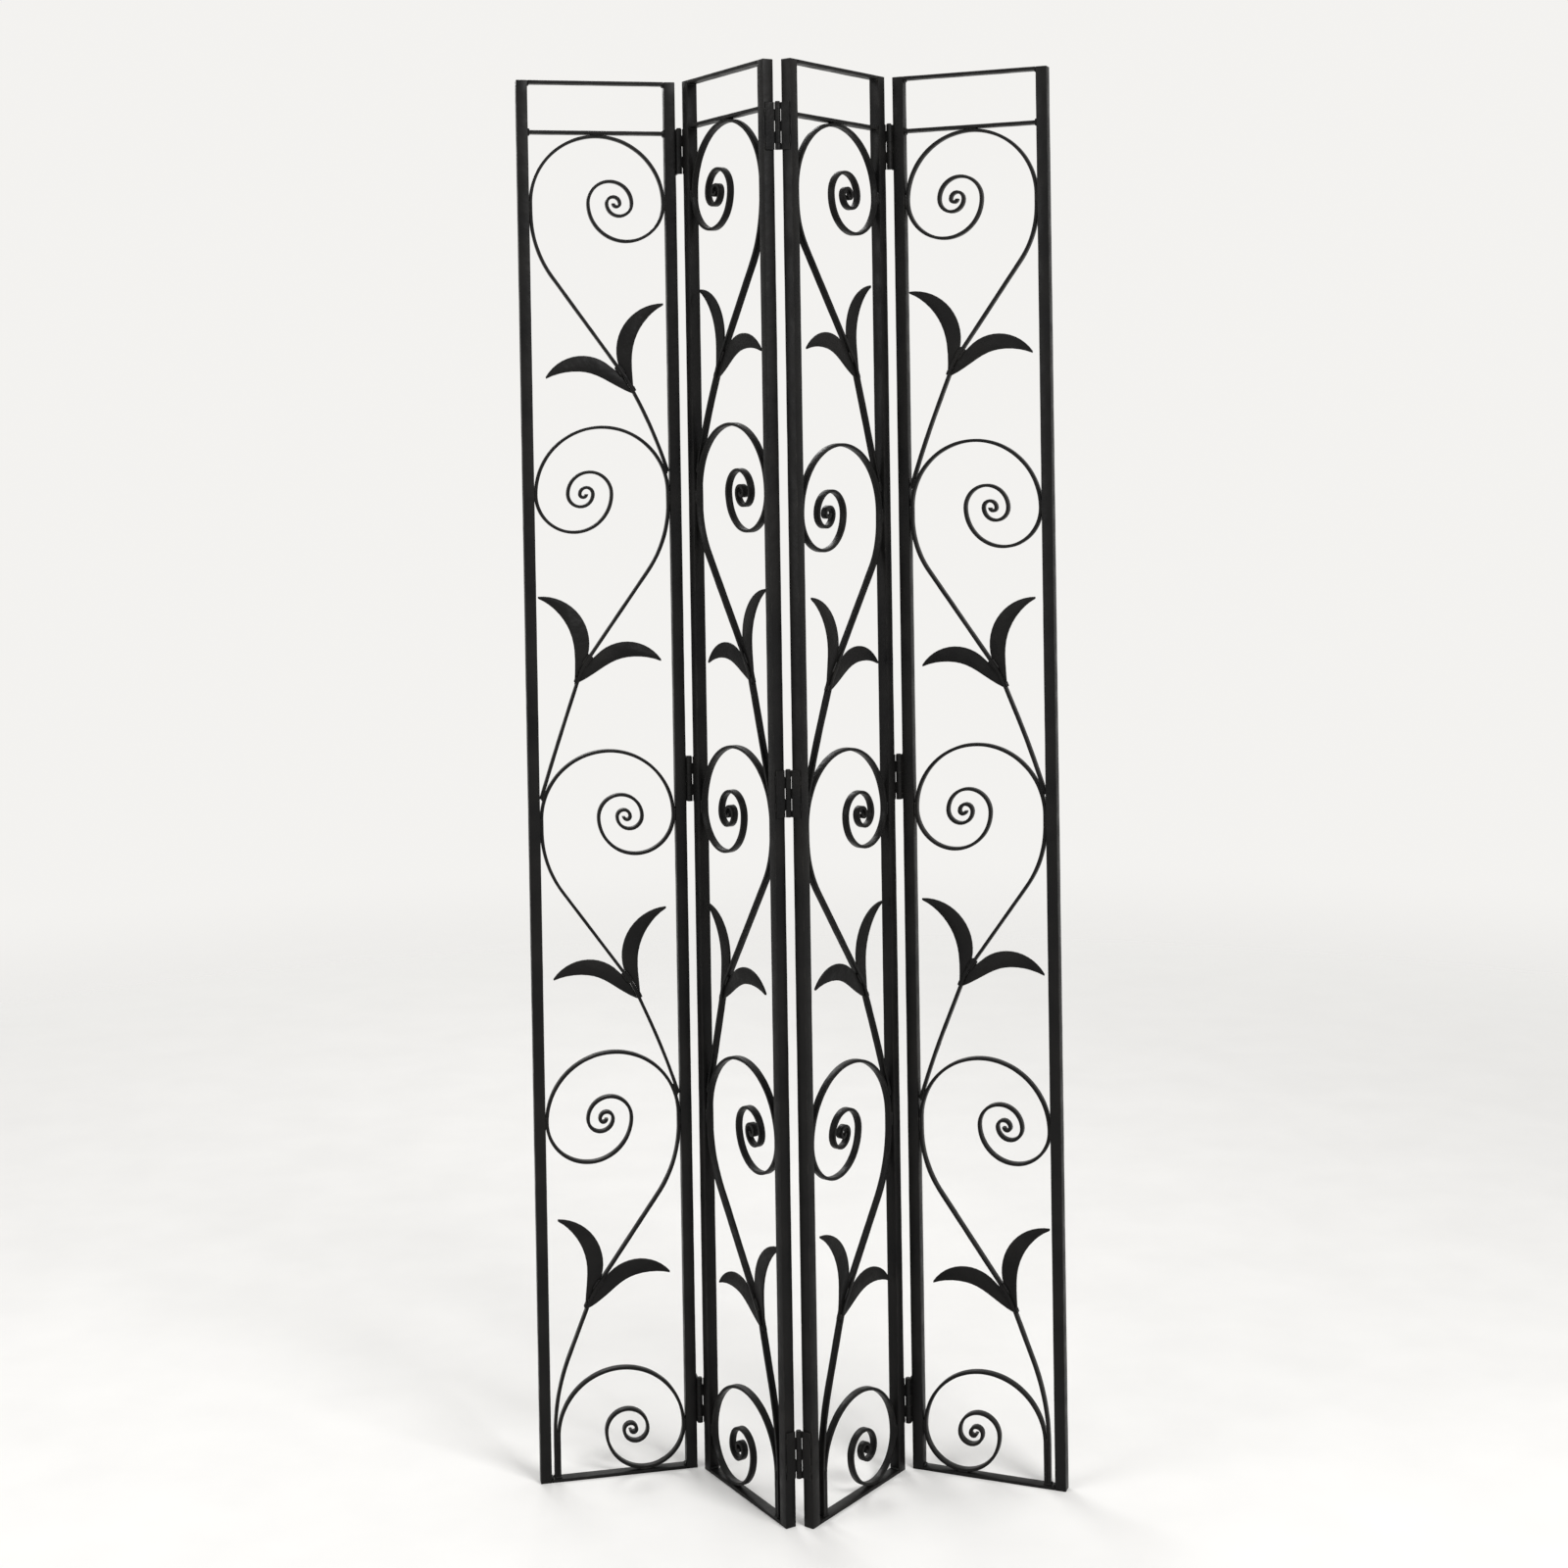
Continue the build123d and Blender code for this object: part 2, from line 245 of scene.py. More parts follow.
def joined(pieces):
    """One piece from several, with its place and turn in its mesh."""
    only(*pieces)
    bpy.ops.object.join()
    bpy.ops.object.transform_apply(location=True, rotation=True, scale=True)
    return bpy.context.object


def use_modifier(piece, kind, **settings):
    """Adds a modifier, sets it and applies it."""
    only(piece)
    bpy.ops.object.modifier_add(type=kind)
    modifier = piece.modifiers[-1]
    for name, value in settings.items():
        setattr(modifier, name, value)
    bpy.ops.object.modifier_apply(modifier=modifier.name)


def hammer(piece):
    """Lets the faces wander a little, as hammered and rolled bar does."""
    sizes = bpy.context.scene.screen_sizes
    marks = bpy.data.textures.get("hammer_marks") or bpy.data.textures.new("hammer_marks", "CLOUDS")
    marks.noise_scale = sizes.hammer_size
    marks.noise_depth = 1
    use_modifier(
        piece, "DISPLACE", texture=marks, texture_coords="LOCAL", strength=sizes.hammer_depth, mid_level=1
    )


def finish_piece(piece, name, panel, material, replaced):
    """Stands a piece that was drawn square on in its panel, and ties it to the frame."""
    piece.name = name
    piece.data.name = name
    piece.matrix_world = panel_place(panel)
    only(piece)
    bpy.ops.object.transform_apply(location=True, rotation=True, scale=True)
    bpy.ops.object.shade_smooth_by_angle(angle=SHARP_ANGLE)
    piece.data.materials.clear()
    piece.data.materials.append(material)
    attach(piece, f"panel_{panel + 1}")
    if replaced:
        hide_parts(*replaced)
    return piece


# Square bar

def bar(middle, size, long_axis):
    """A straight bar with rounded edges, cut across its length so that its faces can wander."""
    bpy.ops.object.select_all(action="DESELECT")
    bpy.ops.mesh.primitive_cube_add(size=1, location=middle)
    piece = bpy.context.object
    piece.scale = size
    bpy.ops.object.transform_apply(location=True, rotation=True, scale=True)
    bpy.ops.object.mode_set(mode="EDIT")
    bpy.ops.mesh.select_all(action="SELECT")
    bpy.ops.mesh.bevel(offset=bpy.context.scene.screen_sizes.edge_round, segments=2, profile=0.5)
    bpy.ops.mesh.select_mode(type="EDGE")
    bpy.ops.mesh.select_all(action="DESELECT")
    bpy.ops.object.mode_set(mode="OBJECT")
    for edge in piece.data.edges:
        start, end = (piece.data.vertices[v].co for v in edge.vertices)
        edge.select = abs((end - start)[long_axis]) > size[long_axis] / 2
    bpy.ops.object.mode_set(mode="EDIT")
    bpy.ops.mesh.subdivide(number_cuts=ceil(size[long_axis] / BAR_STEP))
    bpy.ops.object.mode_set(mode="OBJECT")
    hammer(piece)
    return piece


# Vine

def scroll_hand(panel, scroll):
    """1 where the stem leaves at the left, -1 where the scroll is turned over."""
    return 1 if (panel + scroll) % 2 == 0 else -1


def scroll_radius(panel, scroll):
    return SCROLL_RADIUS - FOOT_LEG_GAPS[panel] / 2 if scroll == FORKS else SCROLL_RADIUS


def top_middle(panel):
    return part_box(f"panel_{panel + 1}_cross_rail")[0].z - STRIP_THICKNESS / 2 - SCROLL_RADIUS


def foot_middle(panel):
    return RAIL_THICKNESS + STRIP_THICKNESS / 2 + scroll_radius(panel, FORKS) * FOOT_SECOND_SHARE


def scroll_middle(panel, scroll):
    """Centre of the outer half turn."""
    if scroll == 0:
        return Vector((0, top_middle(panel)))
    if scroll == FORKS:
        return Vector((scroll_hand(panel, scroll) * FOOT_LEG_GAPS[panel] / 2, foot_middle(panel)))
    mean_top = sum(top_middle(each) for each in PANELS) / len(PANELS)
    mean_foot = sum(foot_middle(each) for each in PANELS) / len(PANELS)
    pitch = (mean_top - mean_foot) / FORKS
    return Vector((0, mean_top - scroll * pitch + SCROLL_DRIFTS[panel][scroll - 1] * MILLIMETRE))


def fork_point(panel, scroll):
    drift = FORK_DRIFTS[panel][scroll] * MILLIMETRE
    aside = STEM_OFFSETS[panel][scroll] * SCROLL_RADIUS - drift / tan(STEM_SLOPE)
    return Vector((scroll_hand(panel, scroll) * aside, scroll_middle(panel, scroll).y - FORK_DROP + drift))


def tail_points(panel, scroll):
    """Corner of a tail's last bend, and its end: against the next scroll, or beside the foot leg."""
    middle = scroll_middle(panel, scroll + 1)
    reach = scroll_radius(panel, scroll + 1) + STRIP_THICKNESS
    run = TAIL_BEND_RUN + TAIL_END_RUN
    side = scroll_hand(panel, scroll)
    if scroll + 1 == FORKS:
        x = middle.x + side * reach
        return Vector((x, middle.y + run)), Vector((x, RAIL_THICKNESS))
    across = cos(TAIL_END_ANGLE)
    up = sin(TAIL_END_ANGLE)
    end = middle + reach * Vector((side * across, up))
    return end + run * Vector((-side * up, across)), end


def half_turns(panel, scroll):
    """Centre, radius and turn of each half turn, from the outside in."""
    hand = scroll_hand(panel, scroll)
    middle = scroll_middle(panel, scroll)
    outer = scroll_radius(panel, scroll)
    second = FOOT_SECOND_SHARE if scroll == FORKS else SECOND_SHARES[panel][scroll]
    x = hand * middle.x - outer
    turns = []
    for count, share in enumerate((1.0, second, *INNER_SHARES)):
        way = 1 if count % 2 == 0 else -1
        turns.append((Vector((hand * (x + way * outer * share), middle.y)), outer * share, -hand * pi))
        x += 2 * way * outer * share
    return turns


def draw_section(x, z):
    """The strip's rounded cross section as a ring of edges, lying flat, ready to be drawn along."""
    bpy.ops.object.select_all(action="DESELECT")
    bpy.ops.mesh.primitive_plane_add(size=1, location=(x, 0, z))
    piece = bpy.context.object
    piece.scale = (STRIP_THICKNESS, STRIP_DEPTH, 1)
    bpy.ops.object.transform_apply(location=True, rotation=True, scale=True)
    bpy.ops.object.mode_set(mode="EDIT")
    bpy.ops.mesh.select_mode(type="VERT")
    bpy.ops.mesh.select_all(action="SELECT")
    bpy.ops.mesh.bevel(
        offset=bpy.context.scene.screen_sizes.edge_round, segments=2, affect="VERTICES", profile=0.5
    )
    bpy.ops.mesh.select_all(action="SELECT")
    bpy.ops.mesh.delete(type="ONLY_FACE")
    bpy.ops.mesh.select_all(action="SELECT")
    return piece


def draw_round(centre, radius, turn):
    """Draws the section on round a centre, anticlockwise as seen from the front."""
    bpy.ops.mesh.spin(
        steps=max(8, ceil(abs(turn) * radius / STRIP_STEP)), angle=turn,
        center=(centre.x, 0, centre.y), axis=(0, 1, 0),
    )


def draw_straight(start, end):
    steps = max(1, ceil((end - start).length / STRIP_STEP))
    step = (end - start) / steps
    for _ in range(steps):
        bpy.ops.mesh.extrude_region_move(TRANSFORM_OT_translate={"value": (step.x, 0, step.y)})


def draw_rounded(points, bends):
    """Draws the section on along a line of points. A bend holds its radius, or its run from the corner."""
    place = points[0]
    for before, corner, after, (radius, run) in zip(points, points[1:], points[2:], bends):
        into = (corner - before).normalized()
        out = (after - corner).normalized()
        turn = atan2(into.x * out.y - into.y * out.x, into.dot(out))
        half = tan(abs(turn) / 2)
        radius = radius or run / half
        start = corner - into * radius * half
        draw_straight(place, start)
        draw_round(start + Vector((-into.y, into.x)) * copysign(radius, turn), radius, turn)
        place = corner + out * radius * half
    draw_straight(place, points[-1])


def draw_strip(panel, scroll):
    """One strip: from the eye of its scroll outwards, down the stem and through the fork to its tail."""
    hand = scroll_hand(panel, scroll)
    turns = half_turns(panel, scroll)
    eye_centre, eye_radius, _ = turns[-1]
    eye_way = 1 if len(turns) % 2 else -1
    piece = draw_section(eye_centre.x + hand * eye_way * eye_radius, eye_centre.y)
    for centre, radius, turn in reversed(turns):
        draw_round(centre, radius, -turn)
    middle = scroll_middle(panel, scroll)
    side = Vector((middle.x - hand * scroll_radius(panel, scroll), middle.y))
    if scroll == FORKS:
        draw_straight(side, Vector((side.x, RAIL_THICKNESS)))
    else:
        fork = fork_point(panel, scroll)
        corner = Vector((side.x, fork.y + abs(fork.x - side.x) * tan(STEM_SLOPE)))
        stem_run = side.y - STEM_FLAT_RUN - corner.y
        points = (side, corner, fork, *tail_points(panel, scroll))
        draw_rounded(points, ((None, stem_run), (FORK_BEND_RADIUS, None), (None, TAIL_BEND_RUN)))
    bpy.ops.mesh.select_all(action="SELECT")
    bpy.ops.mesh.remove_doubles(threshold=MERGE_DISTANCE)
    bpy.ops.mesh.fill_holes(sides=0)
    bpy.ops.mesh.normals_make_consistent(inside=False)
    bpy.ops.object.mode_set(mode="OBJECT")
    return piece


# Welds

def weld_bead():
    """One short run of weld along Z: drops laid over each other and melted into one."""
    sizes = bpy.context.scene.screen_sizes
    span = sizes.bead_length - 2 * sizes.bead_radius
    drops = []
    for drop in range(BEAD_DROPS):
        bpy.ops.object.select_all(action="DESELECT")
        bpy.ops.mesh.primitive_ico_sphere_add(
            subdivisions=2,
            radius=sizes.bead_radius * (1 if drop % 2 else 0.86),
            location=(0, 0, (drop / (BEAD_DROPS - 1) - 0.5) * span),
        )
        drops.append(bpy.context.object)
    piece = joined(drops)
    use_modifier(piece, "REMESH", mode="VOXEL", voxel_size=BEAD_MESH)
    use_modifier(piece, "SMOOTH", factor=0.6, iterations=2)
    return piece


def bead_copy(bead, place, turn, length, girth=1.0):
    """A bead with its own mesh, stretched along its run, turned and set in place."""
    copy = bead.copy()
    copy.data = bead.data.copy()
    bpy.context.collection.objects.link(copy)
    copy.matrix_world = Matrix.Translation(place) @ turn @ Matrix.Diagonal((girth, girth, length, 1))
    return copy


def lean(angle):
    """Turn of a bead in the panel's plane, from upright."""
    return Matrix.Rotation(angle, 4, "Y")


def vine_welds(panel):
    """Place across and up, lean, length in beads, and depth of each weld. Each is on both faces."""
    inset = bpy.context.scene.screen_sizes.bead_radius / 3
    reach = INNER_WIDTH / 2 - inset
    face = STRIP_DEPTH / 2 - inset
    welds = []
    for scroll in range(FORKS + 1):
        hand = scroll_hand(panel, scroll)
        height = scroll_middle(panel, scroll).y
        welds.append((Vector((hand * reach, height)), 0, 1.8, face))
        if scroll < FORKS:
            welds.append((Vector((-hand * reach, height - STEM_FLAT_RUN / 2)), 0, 2.0, face))
    top = top_middle(panel) + SCROLL_RADIUS + STRIP_THICKNESS / 2
    welds.append((Vector((0, top - inset)), pi / 2, 1.8, face))

    for scroll in range(FORKS - 1):
        side = scroll_hand(panel, scroll)
        out = Vector((side * cos(TAIL_END_ANGLE), sin(TAIL_END_ANGLE)))
        up = Vector((-out.y * side, out.x * side))
        seam = scroll_middle(panel, scroll + 1) + out * (SCROLL_RADIUS + STRIP_THICKNESS / 2)
        welds.append((seam + up * SEAM_WELD_RISE, -side * TAIL_END_ANGLE, 1.5, face))

    side = scroll_hand(panel, FORKS - 1)
    foot = scroll_middle(panel, FORKS)
    leg = foot.x + side * (scroll_radius(panel, FORKS) + STRIP_THICKNESS / 2)
    welds.append((Vector((leg, RAIL_THICKNESS + inset)), pi / 2, 1.1, face))
    welds.append((Vector((leg, foot.y)), 0, 1.4, face))
    lowest = half_turns(panel, FORKS)[1][0].x
    welds.append((Vector((lowest, RAIL_THICKNESS + inset)), pi / 2, 1.6, face))

    for scroll in range(FORKS):
        hand = scroll_hand(panel, scroll)
        fork = fork_point(panel, scroll)
        angle = -hand * (pi / 2 - STEM_SLOPE)
        up = Vector((sin(angle), cos(angle)))
        across = Vector((up.y, -up.x)) * (STRIP_THICKNESS / 2 + inset)
        leaf_face = LEAF_THICKNESS / 2 + inset
        for side in (-1, 1):
            welds.append((fork + up * LEAF_WELD_RISE + across * side, angle, 1.7, leaf_face))
        below = (tail_points(panel, scroll)[0] - fork).normalized()
        beside = Vector((-below.y, below.x)) * hand * (STRIP_THICKNESS / 2 + inset)
        place = fork + below * TAIL_WELD_DROP + beside
        welds.append((place, atan2(below.x, below.y), 0.8, leaf_face))
    return welds


def weld_beads(panel, bead):
    """All the weld on one panel, drawn square on."""
    inset = bpy.context.scene.screen_sizes.bead_radius / 3
    runs = []
    for place, angle, length, face in vine_welds(panel):
        for side in (-1, 1):
            runs.append(bead_copy(bead, (place.x, side * face, place.y), lean(angle), length))

    for place in ("top", "cross", "foot"):
        low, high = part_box(f"panel_{panel + 1}_{place}_rail")
        under = low.z - inset
        over = high.z + inset
        corners = {"top": [under], "cross": [under, over], "foot": [over]}
        for height in corners[place]:
            for side in (-1, 1):
                corner = (side * (INNER_WIDTH / 2 - inset), 0, height)
                runs.append(bead_copy(bead, corner, Matrix.Rotation(pi / 2, 4, "X"), 1.3))

    for joint, end in ((panel - 1, -1), (panel, 1)):
        if joint < 0 or joint + 1 not in PANELS:
            continue
        place = "left" if end > 0 else "right"
        low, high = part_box(f"hinges_{joint + 1}_{joint + 2}_{place}_flaps")
        edge = FLAP_EDGE * -PIN_SIDES[joint]
        for bottom in (low.z, (low.z + high.z - HINGE_HEIGHT) / 2, high.z - HINGE_HEIGHT):
            for share in FLAP_WELD_SHARES:
                spot = (end * (PANEL_WIDTH / 2 + FLAP_WELD_PROUD), edge, bottom + share * HINGE_HEIGHT)
                runs.append(bead_copy(bead, spot, lean(0), 1.2, 0.5))
    return joined(runs)


# Plate

def plate_from(node, rounding):
    """A copy of a node's plate with its flat faces whole and its rim rounded."""
    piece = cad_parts[node].copy()
    piece.data = piece.data.copy()
    bpy.context.collection.objects.link(piece)
    piece.parent = None
    only(piece)
    bpy.ops.object.mode_set(mode="EDIT")
    bpy.ops.mesh.select_all(action="SELECT")
    bpy.ops.mesh.customdata_custom_splitnormals_clear()
    bpy.ops.mesh.remove_doubles(threshold=MERGE_DISTANCE)
    bpy.ops.mesh.dissolve_limited(angle_limit=radians(0.5))
    bpy.ops.mesh.select_mode(type="EDGE")
    bpy.ops.mesh.select_all(action="DESELECT")
    bpy.ops.mesh.edges_select_sharp(sharpness=SHARP_ANGLE)
    bpy.ops.mesh.bevel(offset=rounding, segments=2, profile=0.5)
    bpy.ops.object.mode_set(mode="OBJECT")
    return piece


# Materials

def mixed(tree, factor, first, second):
    """A colour mixed from two by a factor."""
    mix = tree.nodes.new("ShaderNodeMix")
    mix.data_type = "RGBA"
    tree.links.new(factor, mix.inputs["Factor"])
    for socket, value in ((mix.inputs["A"], first), (mix.inputs["B"], second)):
        if isinstance(value, bpy.types.NodeSocket):
            tree.links.new(value, socket)
        else:
            socket.default_value = (*value, 1)
    return mix.outputs["Result"]


def noise(tree, place, scale, detail, low=0.0, high=1.0, source_low=0.3, source_high=0.7):
    """Noise at a scale, stretched from its middle values to a range."""
    cloud = tree.nodes.new("ShaderNodeTexNoise")
    cloud.inputs["Scale"].default_value = scale
    cloud.inputs["Detail"].default_value = detail
    tree.links.new(place, cloud.inputs["Vector"])
    spread = tree.nodes.new("ShaderNodeMapRange")
    spread.inputs["From Min"].default_value = source_low
    spread.inputs["From Max"].default_value = source_high
    spread.inputs["To Min"].default_value = low
    spread.inputs["To Max"].default_value = high
    tree.links.new(cloud.outputs["Fac"], spread.inputs["Value"])
    return spread.outputs["Result"]


def bump(tree, height, distance, strength, under=None):
    node = tree.nodes.new("ShaderNodeBump")
    node.inputs["Distance"].default_value = distance
    node.inputs["Strength"].default_value = strength
    tree.links.new(height, node.inputs["Height"])
    if under:
        tree.links.new(under, node.inputs["Normal"])
    return node.outputs["Normal"]


def black_finish(name, gloss_shift=0.0, wear=1.0, mark_scale=90, mark_depth=0.0006):
    """Satin black over forged iron: dulled in patches, marked by the hammer and rubbed along its edges."""
    finish = bpy.context.scene.screen_finish
    material = bpy.data.materials.new(name)
    material.use_nodes = True
    tree = material.node_tree
    shader = tree.nodes["Principled BSDF"]
    place = tree.nodes.new("ShaderNodeTexCoord").outputs["Object"]

    patches = noise(tree, place, 14, 4)
    colour = mixed(tree, patches, finish.black, finish.dusty)

    # Edges: where a rounded normal leaves the true one, broken up by noise
    rounded = tree.nodes.new("ShaderNodeBevel")
    rounded.samples = 4
    rounded.inputs["Radius"].default_value = 0.0012
    geometry = tree.nodes.new("ShaderNodeNewGeometry")
    facing = tree.nodes.new("ShaderNodeVectorMath")
    facing.operation = "DOT_PRODUCT"
    tree.links.new(rounded.outputs["Normal"], facing.inputs[0])
    tree.links.new(geometry.outputs["True Normal"], facing.inputs[1])
    edge = tree.nodes.new("ShaderNodeMapRange")
    edge.inputs["From Min"].default_value = 0.985
    edge.inputs["From Max"].default_value = 0.90
    tree.links.new(facing.outputs["Value"], edge.inputs["Value"])
    rubbed = tree.nodes.new("ShaderNodeMath")
    rubbed.operation = "MULTIPLY"
    tree.links.new(edge.outputs["Result"], rubbed.inputs[0])
    tree.links.new(noise(tree, place, 45, 3, 0, wear, 0.50, 0.72), rubbed.inputs[1])
    tree.links.new(mixed(tree, rubbed.outputs["Value"], colour, finish.worn), shader.inputs["Base Color"])

    level = finish.gloss + gloss_shift
    tree.links.new(noise(tree, place, 38, 5, level - 0.09, level + 0.13), shader.inputs["Roughness"])
    marks = bump(tree, noise(tree, place, mark_scale, 2), mark_depth, 0.5)
    grain = bump(tree, noise(tree, place, 900, 3), 0.00012, 0.35, marks)
    tree.links.new(grain, shader.inputs["Normal"])
    shader.inputs["Specular IOR Level"].default_value = 0.12
    return material


def material_named(name, **settings):
    return bpy.data.materials.get(name) or black_finish(name, **settings)


# Operators

class AddBars(Operator):
    """Round and hammer the square bar frames of the four panels"""

    bl_idname = "screen.add_bars"
    bl_label = "Frame bars"

    def execute(self, context):
        material = material_named("black_bar_finish", mark_scale=60)
        for panel in PANELS:
            for side, place in ((-1, "left"), (1, "right")):
                across = side * (PANEL_WIDTH - STILE_SIDE) / 2
                piece = bar((across, 0, SCREEN_HEIGHT / 2), (STILE_SIDE, STILE_SIDE, SCREEN_HEIGHT), 2)
                node = f"panel_{panel + 1}_{place}_stile"
                name = f"forged_{place}_stile_{panel + 1}"
                finish_piece(piece, name, panel, material, [node])
            for place in ("top", "cross", "foot"):
                node = f"panel_{panel + 1}_{place}_rail"
                piece = bar((0, 0, middle_of(node).z), (INNER_WIDTH, STILE_SIDE, RAIL_THICKNESS), 0)
                name = f"forged_{place}_rail_{panel + 1}"
                finish_piece(piece, name, panel, material, [node])
        return {"FINISHED"}


class AddVine(Operator):
    """Draw the scrolled strips of the vine in each panel"""

    bl_idname = "screen.add_vine"
    bl_label = "Vine strips"

    def execute(self, context):
        material = material_named("black_strip_finish", gloss_shift=-0.04, mark_scale=120)
        for panel in PANELS:
            for first, place in ((0, "odd"), (1, "even")):
                strips = [draw_strip(panel, scroll) for scroll in range(first, FORKS + 1, 2)]
                piece = joined(strips)
                hammer(piece)
                node = f"panel_{panel + 1}_{place}_scrolls"
                name = f"drawn_{place}_scrolls_{panel + 1}"
                finish_piece(piece, name, panel, material, [node])
        return {"FINISHED"}


class AddLeaves(Operator):
    """Round the rims of the crescent leaves"""

    bl_idname = "screen.add_leaves"
    bl_label = "Leaves"

    def execute(self, context):
        material = material_named("black_leaf_finish", gloss_shift=0.05, mark_scale=70, mark_depth=0.0010)
        for panel in PANELS:
            node = f"panel_{panel + 1}_leaves"
            piece = plate_from(node, LEAF_RIM)
            piece.name = f"crescent_leaves_{panel + 1}"
            piece.data.name = piece.name
            bpy.ops.object.shade_smooth_by_angle(angle=SHARP_ANGLE)
            piece.data.materials.clear()
            piece.data.materials.append(material)
            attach(piece, f"panel_{panel + 1}")
            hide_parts(node)
        return {"FINISHED"}


class AddWelds(Operator):
    """Run beads of weld where the bars, strips, leaves and hinges of each panel meet"""

    bl_idname = "screen.add_welds"
    bl_label = "Welds"

    def execute(self, context):
        material = material_named("black_weld_finish", gloss_shift=-0.06, wear=1.5, mark_scale=320)
        bead = weld_bead()
        for panel in PANELS:
            piece = weld_beads(panel, bead)
            finish_piece(piece, f"weld_beads_{panel + 1}", panel, material, None)
        only(bead)
        bpy.ops.object.delete()
        return {"FINISHED"}


class FinishHinges(Operator):
    """Give the hinge flaps and pins their finish"""

    bl_idname = "screen.finish_hinges"
    bl_label = "Hinges"

    def execute(self, context):
        flap = material_named("black_hinge_finish", gloss_shift=0.06, mark_scale=160)
        pin = material_named("black_pin_finish", gloss_shift=-0.08, mark_scale=200, wear=1.4)
        for name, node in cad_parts.items():
            if name.startswith("hinges_"):
                node.material_slots[0].material = pin if name.endswith("pins") else flap
        return {"FINISHED"}


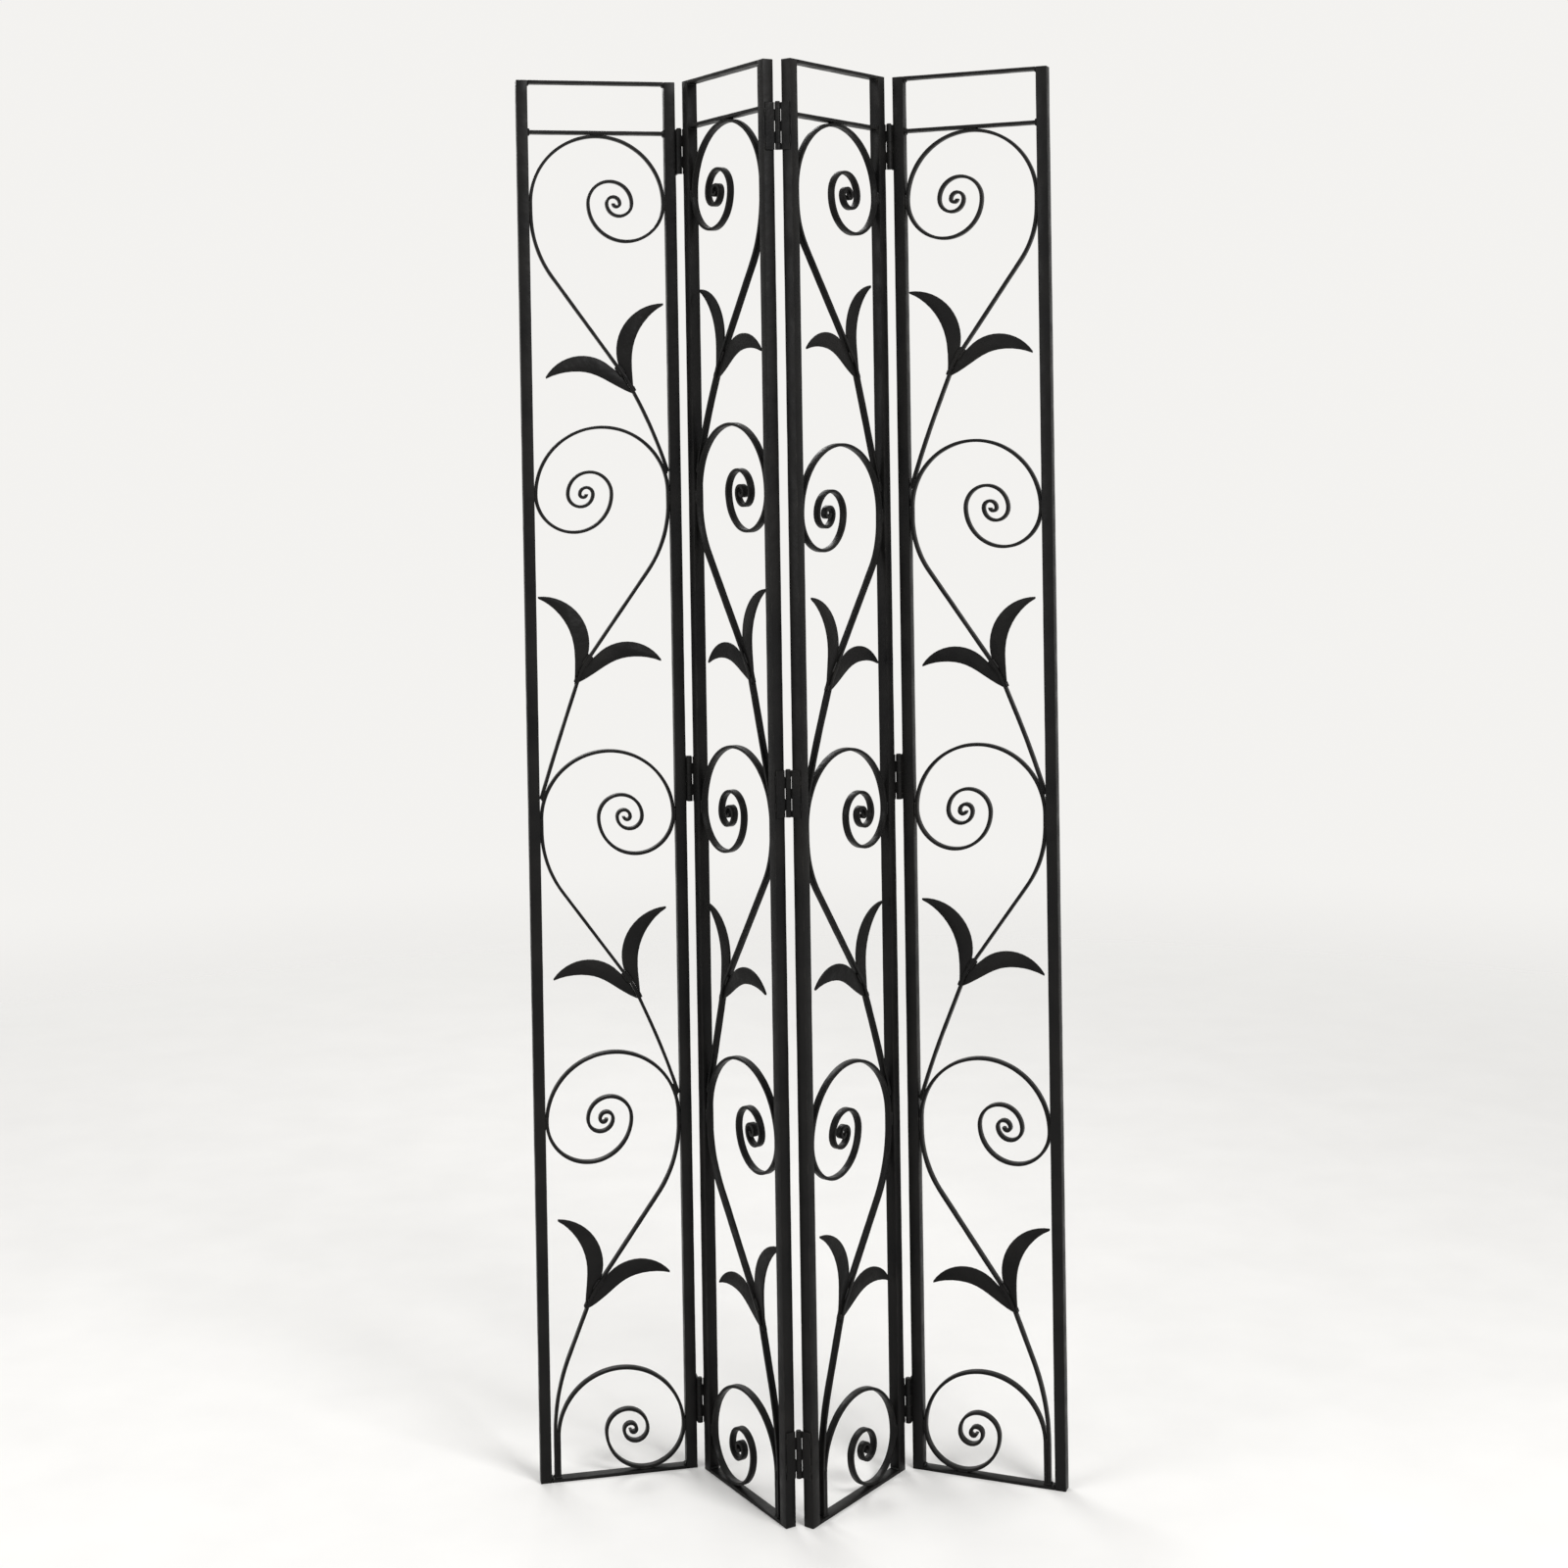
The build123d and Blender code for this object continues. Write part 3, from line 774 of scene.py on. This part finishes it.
class AddStage(Operator):
    """Set the camera, the pale floor and the soft lights"""

    bl_idname = "screen.add_stage"
    bl_label = "Stage"

    def execute(self, context):
        stage = context.scene.stage_settings
        scene = context.scene
        scene.view_settings.view_transform = "Standard"

        bpy.ops.object.select_all(action="DESELECT")
        bpy.ops.object.camera_add()
        camera = context.object
        turn = (
            Matrix.Rotation(stage.camera_pan, 4, "Z")
            @ Matrix.Rotation(pi / 2 - stage.camera_tilt, 4, "X")
            @ Matrix.Rotation(stage.camera_roll, 4, "Z")
        )
        camera.matrix_world = Matrix.Translation(stage.camera_place) @ turn
        camera.data.sensor_width = 36
        camera.data.lens = stage.camera_lens
        camera.data.shift_y = stage.camera_rise
        scene.camera = camera

        bpy.ops.mesh.primitive_circle_add(
            vertices=96, radius=FLOOR_RADIUS, fill_type="NGON", location=(0, 0, 0)
        )
        floor = context.object
        floor.name = "stage_floor"
        floor.data.materials.append(self.floor_material(stage))

        self.light("key_light", (2.4, -2.9, 3.6), 1.8, stage.key_power)
        self.light("fill_light", (-2.9, -2.0, 2.2), 2.2, stage.fill_power)
        self.light("back_light", (-1.2, 2.8, 3.2), 1.6, stage.fill_power)
        self.sky(scene, stage)
        return {"FINISHED"}

    def light(self, name, place, size, power):
        bpy.ops.object.light_add(type="AREA", location=place)
        lamp = bpy.context.object
        lamp.name = name
        lamp.data.size = size
        lamp.data.energy = power
        aim = Vector((0, 0, SCREEN_HEIGHT / 2)) - Vector(place)
        lamp.rotation_euler = aim.to_track_quat("-Z", "Y").to_euler()

    def floor_material(self, stage):
        """Pale and slightly mottled, thinning away towards the horizon."""
        material = bpy.data.materials.new("pale_floor")
        material.use_nodes = True
        tree = material.node_tree
        shader = tree.nodes["Principled BSDF"]
        place = tree.nodes.new("ShaderNodeTexCoord").outputs["Object"]
        darker = [0.96 * value for value in stage.floor_colour]
        tree.links.new(
            mixed(tree, noise(tree, place, 6, 6), stage.floor_colour, darker), shader.inputs["Base Color"]
        )
        shader.inputs["Roughness"].default_value = 0.9
        clear = tree.nodes.new("ShaderNodeBsdfTransparent")
        fade = tree.nodes.new("ShaderNodeMixShader")
        distance = tree.nodes.new("ShaderNodeVectorMath")
        distance.operation = "LENGTH"
        tree.links.new(place, distance.inputs[0])
        reach = tree.nodes.new("ShaderNodeMapRange")
        reach.interpolation_type = "SMOOTHSTEP"
        reach.inputs["From Min"].default_value = FLOOR_FADE[0]
        reach.inputs["From Max"].default_value = FLOOR_FADE[1]
        tree.links.new(distance.outputs["Value"], reach.inputs["Value"])
        tree.links.new(reach.outputs["Result"], fade.inputs["Fac"])
        tree.links.new(shader.outputs["BSDF"], fade.inputs[1])
        tree.links.new(clear.outputs["BSDF"], fade.inputs[2])
        tree.links.new(fade.outputs["Shader"], tree.nodes["Material Output"].inputs["Surface"])
        return material

    def sky(self, scene, stage):
        """Even light from all round, seen as a pale background."""
        world = bpy.data.worlds.new("studio")
        scene.world = world
        world.use_nodes = True
        tree = world.node_tree
        lit = tree.nodes["Background"]
        lit.inputs["Color"].default_value = (1, 1, 1, 1)
        lit.inputs["Strength"].default_value = stage.sky_level
        seen = tree.nodes.new("ShaderNodeBackground")
        seen.inputs["Color"].default_value = (*stage.floor_colour, 1)
        seen.inputs["Strength"].default_value = 1
        rays = tree.nodes.new("ShaderNodeLightPath")
        total = rays.outputs["Is Camera Ray"]
        for kind in ("Is Glossy Ray", "Is Transmission Ray"):
            either = tree.nodes.new("ShaderNodeMath")
            either.operation = "MAXIMUM"
            tree.links.new(total, either.inputs[0])
            tree.links.new(rays.outputs[kind], either.inputs[1])
            total = either.outputs["Value"]
        choice = tree.nodes.new("ShaderNodeMixShader")
        tree.links.new(total, choice.inputs["Fac"])
        tree.links.new(lit.outputs["Background"], choice.inputs[1])
        tree.links.new(seen.outputs["Background"], choice.inputs[2])
        tree.links.new(choice.outputs["Shader"], tree.nodes["World Output"].inputs["Surface"])


class ScreenSidebar(Panel):
    """Steps that dress the screen"""

    bl_idname = "VIEW3D_PT_folding_screen"
    bl_label = "Folding Iron Screen"
    bl_space_type = "VIEW_3D"
    bl_region_type = "UI"
    bl_category = "Screen"

    def draw(self, context):
        for group in ("screen_sizes", "screen_finish", "stage_settings"):
            settings = getattr(context.scene, group)
            for name in settings.bl_rna.properties.keys():
                if name not in ("rna_type", "name"):
                    self.layout.prop(settings, name)
        for step in STEPS:
            self.layout.operator(step.bl_idname)


STEPS = (AddStage, AddBars, AddVine, AddLeaves, AddWelds, FinishHinges)
CLASSES = (ScreenSizes, ScreenFinish, StageSettings, *STEPS, ScreenSidebar)


def register():
    for cls in CLASSES:
        bpy.utils.register_class(cls)
    bpy.types.Scene.screen_sizes = PointerProperty(type=ScreenSizes)
    bpy.types.Scene.screen_finish = PointerProperty(type=ScreenFinish)
    bpy.types.Scene.stage_settings = PointerProperty(type=StageSettings)


def unregister():
    for group in ("screen_sizes", "screen_finish", "stage_settings"):
        delattr(bpy.types.Scene, group)
    for cls in reversed(CLASSES):
        bpy.utils.unregister_class(cls)


def main():
    register()
    bpy.ops.screen.add_stage()
    bpy.ops.screen.add_bars()
    bpy.ops.screen.add_vine()
    bpy.ops.screen.add_leaves()
    bpy.ops.screen.add_welds()
    bpy.ops.screen.finish_hinges()


if __name__ == "__main__":
    main()
